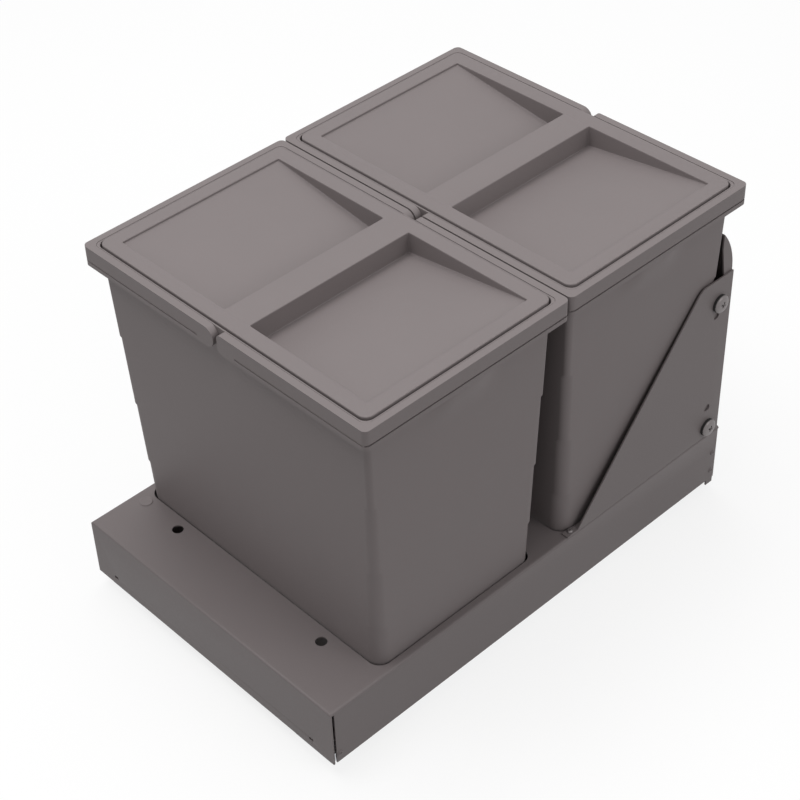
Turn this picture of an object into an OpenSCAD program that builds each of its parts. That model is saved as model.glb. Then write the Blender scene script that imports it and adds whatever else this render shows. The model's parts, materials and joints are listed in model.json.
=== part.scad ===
// Pull out frame with two bins: a sheet steel tray on flat ball slides, with bins, lids and bail handles.
// Millimetres. +Z is up, the door end is at -Y, and the origin is on the floor below the tray's centre.

/* [Tray] */
// Outside width of the tray pan
tray_w = 320; // [300:1:360]
// Outside length of the tray pan
tray_l = 492; // [470:1:540]
// Outside height of the tray pan
skirt_h = 62; // [56:1:80]
// Height of the skirt's lower edge above the floor
skirt_lift = 15; // [15:0.5:24]
// Thickness of the tray and bracket sheet
sheet = 1.5; // [1:0.1:2]
// Inside radius of the tray's folds
fold_in = 1; // [0.6:0.1:1.2]
// Gap between a bin and its cut-out in the deck
cutout_gap = 1.2; // [1:0.1:2.6]
// Open slit at the rear corners
corner_slit = 2.4; // [0.8:0.1:3]
// Distance of the access holes from the tray's rear edge
access_from_rear = 49; // [46:0.5:52]
// Diameter of the access holes
access_d = 10.5; // [8:0.5:12]
// Spacing of the floor screws across the tray
floor_screw_span = 191; // [150:1:196]
// Distance of the blank plug from the tray's side
plug_from_side = 15.5; // [12:0.5:24]
// Diameter of the blank plug's head
plug_d = 12.5; // [11:0.5:14]

/* [Slides] */
// How far the tray pulls out
tray_travel = 440; // [380:5:450]
// Spacing of the two slides, centre to centre
slide_span = 254; // [246:1:256]
// Half width of a fixed rail
rail_half_w = 22.5; // [22:0.1:23]
// Thickness of the rail steel
rail_t = 1.2; // [1:0.05:1.3]
// Diameter of a ball
ball_d = 4.88; // [4.8:0.01:4.9]
// Width of a ball track between two rails
ball_track = 5; // [4.96:0.01:5.04]
// Number of balls in one row
balls_in_row = 10; // [6:1:10]
// Distance between balls in a row
ball_pitch = 20; // [16:0.5:21]

/* [Floor straps] */
// Thickness of a floor strap
strap_t = 2.5; // [2:0.1:3]
// Width of a floor strap
strap_w = 40; // [34:1:46]
// Radius of a floor screw hole
floor_hole_r = 2.6; // [2:0.1:3]

/* [Bins] */
// Depth of the deck behind the rear bin
rear_land = 61.2; // [52:0.2:80]
// Depth of the deck between the two bins
middle_land = 34.4; // [33.8:0.2:40]
// Depth of the deck in front of the front bin
front_land = 25.2; // [24.6:0.2:30]
// Half width of a bin at the deck
bin_hx = 151.5; // [148:0.1:152]
// Sideways growth of a bin wall for each millimetre of height
bin_taper = 0.029; // [0.022:0.001:0.029]
// Wall thickness of a bin
bin_wall = 2.2; // [1.8:0.1:2.6]
// Height of the bails' top above the deck
rim_height = 278; // [260:1:300]
// Corner radius at the top of a bin
bin_corner_r = 5; // [4:0.5:6]
// Growth of the corner radius at each corner step
corner_step = 2.75; // [2:0.25:3.5]
// Half length of the bulge under the grip
bulge_half = 44; // [30:1:50]
// How far the bulge stands out
bulge_out = 6; // [4:0.25:6.5]
// Height of the bulge
bulge_h = 36; // [28:1:60]
// Height of the first corner step above the deck
first_step = 43; // [25:1:50]
// Height of the second corner step above the deck
second_step = 109; // [90:1:120]
// Height of the third corner step above the deck
third_step = 183; // [170:1:200]

/* [Bails and lids] */
// Half width over the bails
bail_hx = 169; // [168:0.25:172]
// Gap between the two bins' rims
rim_gap = 1.6; // [1.2:0.1:3]
// Height of a bail
bail_h = 19; // [16:0.5:20]
// Thickness of a bail's grip
grip_t = 6.3; // [5.6:0.1:6.5]
// Thickness of a bail's arms
arm_t = 6.6; // [5.6:0.1:6.8]
// Gap between the ends of two bails
bail_gap = 4.5; // [4:0.25:6]
// End radius of the squarer bails
bail_end_r = 5; // [3:0.25:6]
// Radius of a bail's pivot stud
stud_r = 2; // [1.6:0.1:2.4]
// Running clearance of the pivot studs
stud_gap = 0.08; // [0.04:0.01:0.1]
// Width of the lid's grip bar
bar_w = 30; // [24:1:40]
// Depth of the hand recess beside the bar
recess_depth = 20; // [16:1:28]
// Depth of the hand recess at its outer end
recess_lip = 2.4; // [0.8:0.1:3]
// Distance of the hand recess from the lid's ends
recess_side = 14; // [10:0.5:20]
// Distance of the hand recess from the lid's front and rear edges
recess_end = 14.7; // [10:0.5:20]
// Wall thickness of a lid
lid_t = 2.5; // [2:0.1:3]
// Height of a lid above the bails
lid_proud = 1.5; // [0.5:0.1:2.5]

/* [Brackets and panel carrier] */
// Height of a bracket above the deck
bracket_h = 182; // [170:1:200]
// Distance of a bracket's front edge behind the tray's front
bracket_set_back = 3.3; // [2:0.1:5]
// Length of a bracket's top edge
bracket_top_l = 42; // [36:0.5:50]
// Distance from the end of a bracket's slope to the front bin's rear wall
bracket_foot_lead = 12.3; // [11:0.1:14]
// Height of the lower clamp screw above the deck
lower_screw_z = 12; // [11:0.1:14]
// Height of the upper clamp screw above the deck
upper_screw_z = 155; // [140:1:160]
// Distance of the clamp screws behind the tray's front
clamp_back = 20; // [18:0.5:22]
// Radius of a clamp screw's shank
clamp_r = 3; // [2.5:0.1:3.2]
// Largest forward tilt of the panel carrier in degrees
carrier_tilt = 2; // [1:0.25:2.5]
// Radius of the panel carrier's curved top
carrier_r = 70; // [55:1:80]
// How far the curved top reaches back
carrier_reach = 15.6; // [8:0.2:15.8]
// Height of the carrier's straight web above the deck
carrier_web_h = 182; // [174:1:190]
// Spacing of the panel screw holes across the carrier
panel_span_x = 220; // [160:2:260]
// Spacing of the panel screw holes up the carrier
panel_span_z = 100; // [80:2:110]
// Height of the panel screws' middle above the deck
panel_mid_z = 103; // [90:1:110]
// Radius of a panel screw hole
panel_hole_r = 2.5; // [2:0.1:3]

/* [Hidden] */
$fn = 48;
eps = 0.01;

// Clearances
seat_gap = 0.3;
play = 0.3;
shank_gap = 0.05;

// Colours
steel_paint = "#6f6968";
plastic = "#746d6b";
zinc = "#b9bcc0";
rubber_black = "#222222";

// Levels and edges of the tray
hw = tray_w / 2;
hl = tray_l / 2;
deck_z = skirt_lift + skirt_h;
deck_low = deck_z - sheet;
skirt_in = hw - sheet;
apron_in = hl - sheet;
fold_out = fold_in + sheet;
skirt_trim = 1.2;
slide_x = slide_span / 2;
access_y = hl - access_from_rear;
floor_x = floor_screw_span / 2;
access_r = access_d / 2;

// Rails, measured from a slide's centre line and from the floor
fixed_web_top = strap_t + rail_t;
fixed_in = rail_half_w - rail_t;
fixed_rail_h = 9;
fixed_top = strap_t + fixed_rail_h;
rail_lip = 1;
outer_ball_x = fixed_in - ball_track / 2;
cage_t = 1.2;
cage_h = 6.2;
outer_ball_z = fixed_web_top + play + cage_h / 2;
middle_out = outer_ball_x - ball_track / 2;
middle_in = middle_out - rail_t;
middle_lift = 0.7;
middle_rail_h = 7.8;
tray_rail_lift = 0.6;
tray_rail_h = 9;
middle_low = fixed_web_top + middle_lift;
middle_web_top = middle_low + rail_t;
middle_top = middle_low + middle_rail_h;
inner_ball_x = middle_in - ball_track / 2;
inner_ball_z = middle_web_top + play + cage_h / 2;
tray_rail_out = inner_ball_x - ball_track / 2;
tray_rail_in = tray_rail_out - rail_t;
tray_rail_low = middle_web_top + tray_rail_lift;
tray_rail_top = tray_rail_low + tray_rail_h;
ball_lip = 1.4;
ball_lip_t = 0.4;
rail_set_back = 6;
fixed_front = -hl + rail_set_back;
fixed_rear = hl - rail_set_back;
buffer_l = 7;
rail_rear = fixed_rear - buffer_l - play;
tray_rail_front = fixed_front + 2;
middle_front = rail_rear - tray_travel;
cage_l = (balls_in_row - 1) * ball_pitch + ball_d + 10;
outer_cage_y = (fixed_front + rail_rear) / 2;
inner_cage_y = (middle_front + rail_rear) / 2;

// Floor straps
front_strap_y = -hl + strap_w / 2;
rear_strap_y = access_y;
strap_hx = slide_x + rail_half_w + 1;
rivet_r = 2.4;

// Bearers and cross member
bearer_low = tray_rail_top;
bearer_h = 11.8;
bearer_top = bearer_low + bearer_h;
bearer_half = 15;
bearer_lip = 6;
cross_out = -hl + 0.2;
cross_top = deck_low - fold_in - 0.2;
cross_in = cross_out + sheet;
hook_w = 3.6;
hook_h = 1.8;
hook_gap = 0.7;
hook_sink = 1.1;
hook_z = skirt_lift + 9.4;
hook_side = 5.5;
front_lug_l = 9;
front_lug_drop = 8;
rail_screw_r = 2;
rail_screw_from_end = 46;
rail_screw_ys = [-hl + rail_screw_from_end, 0, hl - rail_screw_from_end];
skirt_rivet_r = 1.6;
skirt_rivet_head = 3;
front_rivet_y = -hl + 6.3;
low_rivet_h = 10.7;
high_rivet_h = 33;
front_rivet_zs = [skirt_lift + low_rivet_h, skirt_lift + high_rivet_h];
rear_rivet_y = hl - 7.6;
rear_rivet_z = skirt_lift + 9.5;
rivet_tab_l = 14;
flange_low_h = 4;
flange_top_h = 40;
rear_tab_low_h = 3;
rear_tab_top_h = 20;

// Bins
bin_hy = (tray_l - rear_land - middle_land - front_land) / 4 - cutout_gap;
bin_pitch = 2 * (bin_hy + cutout_gap) + middle_land;
bail_hy = (bin_pitch - rim_gap) / 2;
rear_bin_y = hl - rear_land - cutout_gap - bin_hy;
front_bin_y = rear_bin_y - bin_pitch;
bin_low = bearer_top + seat_gap;
rim_z = deck_z + rim_height;
bail_low = rim_z - bail_h;
step_zs = [deck_z + first_step, deck_z + second_step, deck_z + third_step];
step_rise = 0.8;
cutout_r = bin_corner_r + 2.6 * corner_step;
lip_gap = 0.3;
lip_out_x = bail_hx - grip_t - lip_gap;
lip_out_y = bail_hy - arm_t - lip_gap + 0.1;
lip_t = 1.6;
lip_r = 6;
lip_top = rim_z - 0.1;
lid_seat = rim_z - 7;
ledge_low = bail_low + 5.5;
bulge_top = bail_low - 0.8;
floor_t = 2.5;

// Bails
pivot_z = rim_z - bail_h / 2;
pivot_x = bail_gap / 2 + bail_h / 2;
bail_in_x = bail_hx - grip_t;
bail_in_y = bail_hy - arm_t;
bail_corner_r = 5;
bail_inner_r = lip_r + lip_gap;
stud_l = arm_t - 1.4;

// Lids
lid_gap = 1;
lid_hx = lip_out_x - lip_t - lid_gap;
lid_hy = lip_out_y - lip_t - lid_gap;
lid_r = 8.2;
lid_top = rim_z + lid_proud;
lid_low = lid_seat + seat_gap;
recess_x0 = bar_w / 2;
recess_x1 = lid_hx - recess_side;
recess_hy = lid_hy - recess_end;

// Brackets and panel carrier
bracket_front = -hl + bracket_set_back;
bracket_z = deck_z + bracket_h;
bracket_foot_rear = front_bin_y + bin_hy - bracket_foot_lead;
foot_flange = 5;
foot_tab = 7.2;
foot_tab_l = 12;
front_tab = 14;
front_tab_l = 16;
foot_screw_r = 1.25;
foot_head_r = 2.8;
foot_head_h = 2;
rear_foot_x = hw - 4;
rear_foot_y = bracket_foot_rear + 5;
front_foot_x = hw - 10;
front_foot_y = bracket_front + 8.7;
clamp_y = -hl + clamp_back;
lower_clamp_z = deck_z + lower_screw_z;
upper_clamp_z = deck_z + upper_screw_z;
carrier_front = bracket_front + 0.2;
carrier_low = deck_z + 5;
cheek_out = skirt_in - play;
cheek_in = cheek_out - sheet;
carrier_arc_z = deck_z + carrier_web_h;
carrier_arc_y = carrier_front + carrier_r;
carrier_rise = sqrt(2 * carrier_r * carrier_reach - carrier_reach * carrier_reach);
cheek_w = 11;
cheek_lean_h = 29;
ear_l = 35;
ear_top = upper_clamp_z + 8;
slot_l = (upper_clamp_z - lower_clamp_z) * tan(carrier_tilt) + 0.6;
slot_gap = 0.35;
clamp_head_r = 8.7;
washer_r = clamp_head_r;
washer_t = 2.4;
clamp_head_h = 2.8;
nut_r = 4.6;
nut_t = 1.6;
pilot_r = 3.6;
pilot_drop = 13.3;
pilot_rise = 23.8;
panel_hole_z = deck_z + panel_mid_z;

// Small helpers
module rounded_rect(hx, hy, r) {
    square([2 * hx, 2 * (hy - r)], center = true);
    square([2 * (hx - r), 2 * hy], center = true);
    for (sx = [-1, 1], sy = [-1, 1])
        translate([sx * (hx - r), sy * (hy - r)]) circle(r);
}

module rounded_block(hx, hy, r, z0, z1) {
    translate([0, 0, z0]) linear_extrude(z1 - z0) rounded_rect(hx, hy, r);
}

module box(x0, x1, y0, y1, z0, z1) {
    translate([x0, y0, z0]) cube([x1 - x0, y1 - y0, z1 - z0]);
}

// A profile drawn in X and Z, drawn out from y0 to y1
module along_y(y0, y1) {
    translate([0, y1, 0]) rotate([90, 0, 0]) linear_extrude(y1 - y0) children();
}

// A profile drawn in Y and Z, drawn out from x0 to x1
module along_x(x0, x1) {
    translate([x0, 0, 0]) rotate([90, 0, 90]) linear_extrude(x1 - x0) children();
}

// A rod along X from x0 to x1
module rod_x(r, x0, x1, y, z) {
    translate([x0, y, z]) rotate([0, 90, 0]) cylinder(r = r, h = x1 - x0);
}

// A rod along Y from y0 to y1
module rod_y(r, y0, y1, x, z) {
    translate([x, y1, z]) rotate([90, 0, 0]) cylinder(r = r, h = y1 - y0);
}

// A piece drawn on the left side, at -X, or its mirror image on the right
module on_side(side) {
    mirror([side > 0 ? 1 : 0, 0, 0]) children();
}

module both_sides() {
    for (side = [-1, 1]) on_side(side) children();
}

// Floor straps
module floor_strap(y) {
    difference() {
        box(-strap_hx, strap_hx, y - strap_w / 2, y + strap_w / 2, 0, strap_t);
        for (s = [-1, 1]) {
            translate([s * floor_x, y, -1]) cylinder(r = floor_hole_r, h = strap_t + 2);
            translate([s * slide_x, y, -1]) cylinder(r = rivet_r + shank_gap, h = strap_t + 2);
        }
    }
}

module front_floor_strap() {
    color(steel_paint) floor_strap(front_strap_y);
}

module rear_floor_strap() {
    color(steel_paint) floor_strap(rear_strap_y);
}

// Slides: each profile is drawn about the slide's own centre line
module fixed_profile() {
    translate([-rail_half_w, strap_t]) square([2 * rail_half_w, rail_t]);
    for (s = [0, 1]) mirror([s, 0]) {
        translate([fixed_in, strap_t]) square([rail_t, fixed_top - strap_t]);
        translate([fixed_in - rail_lip, fixed_top - rail_t])
            square([rail_lip + rail_t, rail_t]);
    }
}

module middle_profile() {
    translate([-middle_out, middle_low]) square([2 * middle_out, rail_t]);
    for (s = [0, 1]) mirror([s, 0]) {
        translate([middle_in, middle_low]) square([rail_t, middle_top - middle_low]);
        translate([middle_in - ball_lip, middle_top - ball_lip_t]) square([ball_lip + rail_t, ball_lip_t]);
        translate([middle_in, middle_low]) square([ball_lip + rail_t, ball_lip_t]);
    }
}

module tray_rail_profile() {
    translate([-tray_rail_out, tray_rail_top - rail_t]) square([2 * tray_rail_out, rail_t]);
    for (s = [0, 1]) mirror([s, 0]) {
        translate([tray_rail_in, tray_rail_low]) square([rail_t, tray_rail_top - tray_rail_low]);
        translate([tray_rail_in, tray_rail_low]) square([ball_lip + rail_t, ball_lip_t]);
    }
}

module fixed_rail(side) {
    color(zinc) translate([side * slide_x, 0, 0]) difference() {
        along_y(fixed_front, fixed_rear) fixed_profile();
        for (y = [front_strap_y, rear_strap_y])
            translate([0, y, 0]) cylinder(r = rivet_r + shank_gap, h = fixed_web_top + 1);
    }
}

module middle_rail(side) {
    color(zinc) translate([side * slide_x, 0, 0]) along_y(middle_front, rail_rear) middle_profile();
}

module tray_rail(side) {
    color(zinc) translate([side * slide_x, 0, 0]) difference() {
        along_y(tray_rail_front, rail_rear) tray_rail_profile();
        for (y = rail_screw_ys)
            translate([0, y, tray_rail_low]) cylinder(r = rail_screw_r + shank_gap, h = tray_rail_top);
    }
}

function ball_ys(y) = [for (i = [0:balls_in_row - 1]) y + (i - (balls_in_row - 1) / 2) * ball_pitch];

module cage_pair(side, ball_x, y, z) {
    color(zinc) translate([side * slide_x, 0, 0]) for (s = [-1, 1]) difference() {
        box(s * ball_x - cage_t / 2, s * ball_x + cage_t / 2, y - cage_l / 2, y + cage_l / 2,
            z - cage_h / 2, z + cage_h / 2);
        for (by = ball_ys(y))
            rod_x(ball_d / 2 + 0.1, s * ball_x - cage_t, s * ball_x + cage_t, by, z);
    }
}

module ball_rows(ball_x, y, z) {
    color(zinc) for (side = [-1, 1], s = [-1, 1], by = ball_ys(y))
        translate([side * slide_x + s * ball_x, by, z]) sphere(d = ball_d);
}

module left_fixed_rail() { fixed_rail(-1); }
module right_fixed_rail() { fixed_rail(1); }
module left_middle_rail() { middle_rail(-1); }
module right_middle_rail() { middle_rail(1); }
module left_tray_rail() { tray_rail(-1); }
module right_tray_rail() { tray_rail(1); }
module left_outer_cages() { cage_pair(-1, outer_ball_x, outer_cage_y, outer_ball_z); }
module right_outer_cages() { cage_pair(1, outer_ball_x, outer_cage_y, outer_ball_z); }
module left_inner_cages() { cage_pair(-1, inner_ball_x, inner_cage_y, inner_ball_z); }
module right_inner_cages() { cage_pair(1, inner_ball_x, inner_cage_y, inner_ball_z); }
module outer_balls() { ball_rows(outer_ball_x, outer_cage_y, outer_ball_z); }
module inner_balls() { ball_rows(inner_ball_x, inner_cage_y, inner_ball_z); }

module rail_rivets() {
    color(zinc) for (s = [-1, 1], y = [front_strap_y, rear_strap_y])
        translate([s * slide_x, y, 0.2]) cylinder(r = rivet_r, h = fixed_web_top - 0.4);
}

module rail_buffers() {
    color(rubber_black) for (s = [-1, 1])
        box(s * slide_x - middle_in, s * slide_x + middle_in, fixed_rear - buffer_l, fixed_rear,
            fixed_web_top, middle_top);
}

module rail_screws() {
    web_top = bearer_low + sheet;
    color(zinc) for (s = [-1, 1], y = rail_screw_ys) translate([s * slide_x, y, 0]) {
        translate([0, 0, tray_rail_top - rail_t - 0.8]) cylinder(r = rail_screw_r, h = sheet + rail_t + 1);
        translate([0, 0, web_top]) cylinder(r = 2 * rail_screw_r, h = 2.2);
    }
}

// Bearers carry the bins and hook into the apron
module bearer_profile() {
    translate([-bearer_half, bearer_low]) square([2 * bearer_half, sheet]);
    for (s = [0, 1]) mirror([s, 0]) {
        translate([bearer_half - sheet, bearer_low]) square([sheet, bearer_top - bearer_low]);
        translate([bearer_half - sheet, bearer_top - sheet]) square([bearer_lip + sheet, sheet]);
    }
}

module bearer(side) {
    color(steel_paint) translate([side * slide_x, 0, 0]) difference() {
        union() {
            along_y(cross_in, apron_in) bearer_profile();
            box(-bearer_half, bearer_half, apron_in - sheet, apron_in, bearer_low, bearer_top);
            box(side * hook_side - hook_w / 2, side * hook_side + hook_w / 2, apron_in - eps, hl - hook_sink,
                hook_z - hook_h / 2, hook_z + hook_h / 2);
        }
        for (y = rail_screw_ys)
            translate([0, y, bearer_low - 1]) cylinder(r = rail_screw_r + shank_gap, h = sheet + 2);
    }
}

module left_bearer() { bearer(-1); }
module right_bearer() { bearer(1); }

module skirt_rivet_holes(y, z) {
    for (s = [-1, 1])
        rod_x(skirt_rivet_r + shank_gap, s * hw - 6, s * hw + 6, y, z);
}

module front_cross_member() {
    color(steel_paint) difference() {
        union() {
            box(-skirt_in, skirt_in, cross_out, cross_in, skirt_lift + 1, cross_top);
            both_sides() {
                box(-skirt_in, -skirt_in + sheet, cross_out, cross_out + rivet_tab_l,
                    skirt_lift + flange_low_h, skirt_lift + flange_top_h);
                box(-skirt_in, -skirt_in + sheet, cross_out, cross_out + front_lug_l,
                    skirt_lift - front_lug_drop, skirt_lift + flange_low_h + eps);
            }
        }
        for (z = front_rivet_zs) skirt_rivet_holes(front_rivet_y, z);
    }
}

// A block with its top edges rounded along both sides and at the rear, open to the front and below
module folded_block(inset, r) {
    top = deck_z - inset;
    rear = hl - inset;
    past = 20;
    low = skirt_lift - past;
    mid_z = (top + low) / 2;
    half_z = (top - low) / 2;
    front = -hl - past;
    intersection() {
        along_y(front, hl + past) translate([0, mid_z])
            rounded_rect(hw - inset, half_z, r);
        along_x(-hw - past, hw + past) translate([(rear + front - past) / 2, mid_z])
            rounded_rect((rear - front + past) / 2, half_z, r);
    }
}

module tray_pan() {
    slit_top = deck_z - fold_out;
    color(steel_paint) difference() {
        union() {
            difference() {
                intersection() {
                    folded_block(0, fold_out);
                    box(-hw - 1, hw + 1, -hl, hl + 1, skirt_lift, deck_z + 1);
                }
                folded_block(sheet, fold_in);
                both_sides() {
                    box(-hw - 1, -skirt_in, apron_in - corner_slit, apron_in, skirt_lift - 1, slit_top);
                    box(-hw - 1, -skirt_in, -hl - 1, -hl + skirt_trim, skirt_lift - 1, slit_top);
                }
            }
            both_sides()
                box(-skirt_in - eps, -skirt_in + sheet, hl - rivet_tab_l, apron_in - corner_slit - 1,
                    skirt_lift + rear_tab_low_h, skirt_lift + rear_tab_top_h);
        }
        for (y = [rear_bin_y, front_bin_y]) translate([0, y, 0])
            rounded_block(bin_hx + cutout_gap, bin_hy + cutout_gap, cutout_r, deck_low - 1, deck_z + 1);
        for (s = [-1, 1]) {
            translate([s * floor_x, access_y, deck_low - 1]) cylinder(r = access_r, h = sheet + 2);
            translate([s * (slide_x + hook_side), 0, hook_z])
                box(-hook_w / 2 - hook_gap, hook_w / 2 + hook_gap, apron_in - 1, hl + 1,
                    -hook_h / 2 - hook_gap, hook_h / 2 + hook_gap);
        }
        translate([hw - plug_from_side, access_y - 2.5, deck_low - 1])
            cylinder(r = plug_d / 2 - 1.2, h = sheet + 2);
        for (z = front_rivet_zs) skirt_rivet_holes(front_rivet_y, z);
        skirt_rivet_holes(rear_rivet_y, rear_rivet_z);
        both_sides() {
            translate([-rear_foot_x, rear_foot_y, deck_low - 1])
                cylinder(r = foot_screw_r + shank_gap, h = sheet + 2);
            translate([-front_foot_x, front_foot_y, deck_low - 1])
                cylinder(r = foot_screw_r + shank_gap, h = sheet + 2);
        }
    }
}

module skirt_rivet(y, z) {
    rod_x(skirt_rivet_head, -hw - 1, -hw, y, z);
    rod_x(skirt_rivet_r, -hw, -skirt_in + sheet + 0.8, y, z);
}

module tray_rivets() {
    color(steel_paint) both_sides() {
        for (z = front_rivet_zs) skirt_rivet(front_rivet_y, z);
        skirt_rivet(rear_rivet_y, rear_rivet_z);
    }
}

module blank_plug() {
    stem_r = plug_d / 2 - 1.2 - shank_gap;
    color(plastic) translate([hw - plug_from_side, access_y - 2.5, 0]) {
        translate([0, 0, deck_z]) cylinder(r = plug_d / 2, h = 0.8);
        translate([0, 0, deck_low - 1]) cylinder(r = stem_r, h = sheet + 1);
    }
}

// Brackets stand on the deck edge, flush with the skirt
module bracket_outline() {
    top_rear = bracket_front + bracket_top_l;
    slope = (bracket_foot_rear - top_rear) / bracket_h;
    ease = 3;
    polygon([[bracket_front, deck_z], [bracket_foot_rear, deck_z],
             [top_rear + slope * ease, bracket_z - ease], [top_rear - ease, bracket_z],
             [bracket_front, bracket_z]]);
}

module bracket(side) {
    color(steel_paint) on_side(side) difference() {
        union() {
            along_x(-hw, -skirt_in) bracket_outline();
            box(-hw, -hw + foot_flange, bracket_front, bracket_foot_rear, deck_z, deck_z + sheet);
            box(-hw, -hw + foot_tab, bracket_foot_rear - eps, bracket_foot_rear + foot_tab_l,
                deck_z, deck_z + sheet);
            box(-hw, -hw + front_tab, bracket_front, bracket_front + front_tab_l,
                deck_z, deck_z + sheet);
        }
        for (z = [lower_clamp_z, upper_clamp_z])
            rod_x(clamp_r + shank_gap, -hw - 1, -skirt_in + 1, clamp_y, z);
        rod_x(pilot_r, -hw - 1, -skirt_in + 1, clamp_y + 2, upper_clamp_z - pilot_drop);
        rod_x(pilot_r, -hw - 1, -skirt_in + 1, clamp_y + 2, lower_clamp_z + pilot_rise);
        translate([-rear_foot_x, rear_foot_y, deck_z - 1])
            cylinder(r = foot_screw_r + shank_gap, h = sheet + 2);
        translate([-front_foot_x, front_foot_y, deck_z - 1])
            cylinder(r = foot_screw_r + shank_gap, h = sheet + 2);
    }
}

module left_bracket() { bracket(-1); }
module right_bracket() { bracket(1); }

module cross_recess(w, t, h) {
    for (a = [0, 90]) rotate(a) translate([-w / 2, -t / 2, -h]) cube([w, t, h + 1]);
}

module foot_screw(x, y) {
    top = deck_z + sheet;
    translate([x, y, 0]) difference() {
        union() {
            translate([0, 0, deck_low - 3]) cylinder(r = foot_screw_r, h = top - deck_low + 3 + eps);
            translate([0, 0, top]) cylinder(r = foot_head_r, h = foot_head_h);
        }
        translate([0, 0, top + foot_head_h]) cross_recess(foot_head_r * 1.1, 1, 1.2);
    }
}

module foot_screws() {
    color(zinc) both_sides() {
        foot_screw(-rear_foot_x, rear_foot_y);
        foot_screw(-front_foot_x, front_foot_y);
    }
}

// Panel carrier: web with a curved top, and cheeks with ears for the clamp screws
module carrier_skin() {
    translate([carrier_front, carrier_low]) square([sheet, carrier_arc_z - carrier_low]);
    translate([carrier_arc_y, carrier_arc_z]) intersection() {
        difference() {
            circle(carrier_r, $fn = 120);
            circle(carrier_r - sheet, $fn = 120);
        }
        translate([-carrier_r - 1, 0]) square([carrier_reach + 1, carrier_r]);
    }
}

module cheek_outline() {
    rear = carrier_front + cheek_w;
    tip = carrier_reach - carrier_r;
    polygon([[carrier_front, carrier_low], [carrier_front + ear_l, carrier_low],
             [carrier_front + ear_l, ear_top], [rear, ear_top], [rear, carrier_arc_z],
             [carrier_front, carrier_arc_z]]);
    translate([carrier_arc_y, carrier_arc_z]) intersection() {
        circle(carrier_r, $fn = 120);
        polygon([[-carrier_r - 1, 0], [cheek_w - carrier_r, 0], [tip, cheek_lean_h],
                 [tip, carrier_rise + 1], [-carrier_r - 1, carrier_rise + 1]]);
    }
}

module panel_carrier() {
    slot_r = clamp_r + slot_gap;
    color(steel_paint) difference() {
        union() {
            along_x(-cheek_out, cheek_out) carrier_skin();
            both_sides() along_x(-cheek_out, -cheek_in) cheek_outline();
        }
        both_sides() {
            rod_x(clamp_r + shank_gap, -cheek_out - 1, -cheek_in + 1, clamp_y, lower_clamp_z);
            rod_x(slot_r, -cheek_out - 1, -cheek_in + 1, clamp_y, upper_clamp_z);
            rod_x(slot_r, -cheek_out - 1, -cheek_in + 1, clamp_y + slot_l, upper_clamp_z);
            box(-cheek_out - 1, -cheek_in + 1, clamp_y, clamp_y + slot_l,
                upper_clamp_z - slot_r, upper_clamp_z + slot_r);
        }
        for (sx = [-1, 1], sz = [-1, 1])
            rod_y(panel_hole_r, carrier_front - 1, carrier_front + sheet + 1,
                  sx * panel_span_x / 2, panel_hole_z + sz * panel_span_z / 2);
    }
}

module clamp_screw(z) {
    head_x = hw + washer_t;
    difference() {
        union() {
            rod_x(clamp_r, -head_x - eps, -cheek_in + play + nut_t, clamp_y, z);
            rod_x(clamp_head_r, -head_x - clamp_head_h, -head_x, clamp_y, z);
        }
        translate([-head_x - clamp_head_h, clamp_y, z]) rotate([0, -90, 0])
            cross_recess(clamp_head_r, 1.6, 1.8);
    }
}

module washer(r, z) {
    difference() {
        rod_x(r, -hw - washer_t, -hw, clamp_y, z);
        rod_x(clamp_r + shank_gap, -hw - washer_t - 1, -hw + 1, clamp_y, z);
    }
}

module clamp_nut(z) {
    translate([-cheek_in + play, clamp_y, z]) rotate([0, 90, 0]) difference() {
        cylinder(r = nut_r, h = nut_t, $fn = 6);
        translate([0, 0, -1]) cylinder(r = clamp_r + shank_gap, h = nut_t + 2);
    }
}

module upper_clamp_screws() { color(zinc) both_sides() clamp_screw(upper_clamp_z); }
module lower_clamp_screws() { color(zinc) both_sides() clamp_screw(lower_clamp_z); }
module upper_clamp_washers() { color(steel_paint) both_sides() washer(washer_r, upper_clamp_z); }
module lower_clamp_washers() { color(steel_paint) both_sides() washer(washer_r, lower_clamp_z); }

module clamp_nuts() {
    color(zinc) both_sides() {
        clamp_nut(upper_clamp_z);
        clamp_nut(lower_clamp_z);
    }
}

// Bins: a skin through rounded rings, up the outside and down the inside
corner_n = 6;
bulge_n = 4;

function bulge_share(y) = min(1, 0.7 * (1 + cos(180 * min(1, abs(y) / bulge_half))));

function corner_points(hx, hy, r, z, quarter) = [for (i = [0:corner_n])
    let (a = 90 * quarter + 90 * i / corner_n, sx = (quarter == 0 || quarter == 3) ? 1 : -1,
         sy = quarter < 2 ? 1 : -1)
    [sx * (hx - r) + r * cos(a), sy * (hy - r) + r * sin(a), z]];

function side_points(hx, z, out, sx) = [for (i = [-bulge_n:bulge_n])
    let (y = sx * i * bulge_half / bulge_n) [sx * (hx + out * bulge_share(y)), y, z]];

// A ring is [half width, half depth, corner radius, height, bulge]
function ring_points(g) = concat(
    corner_points(g[0], g[1], g[2], g[3], 0), corner_points(g[0], g[1], g[2], g[3], 1),
    side_points(g[0], g[3], g[4], -1),
    corner_points(g[0], g[1], g[2], g[3], 2), corner_points(g[0], g[1], g[2], g[3], 3),
    side_points(g[0], g[3], g[4], 1));

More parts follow.
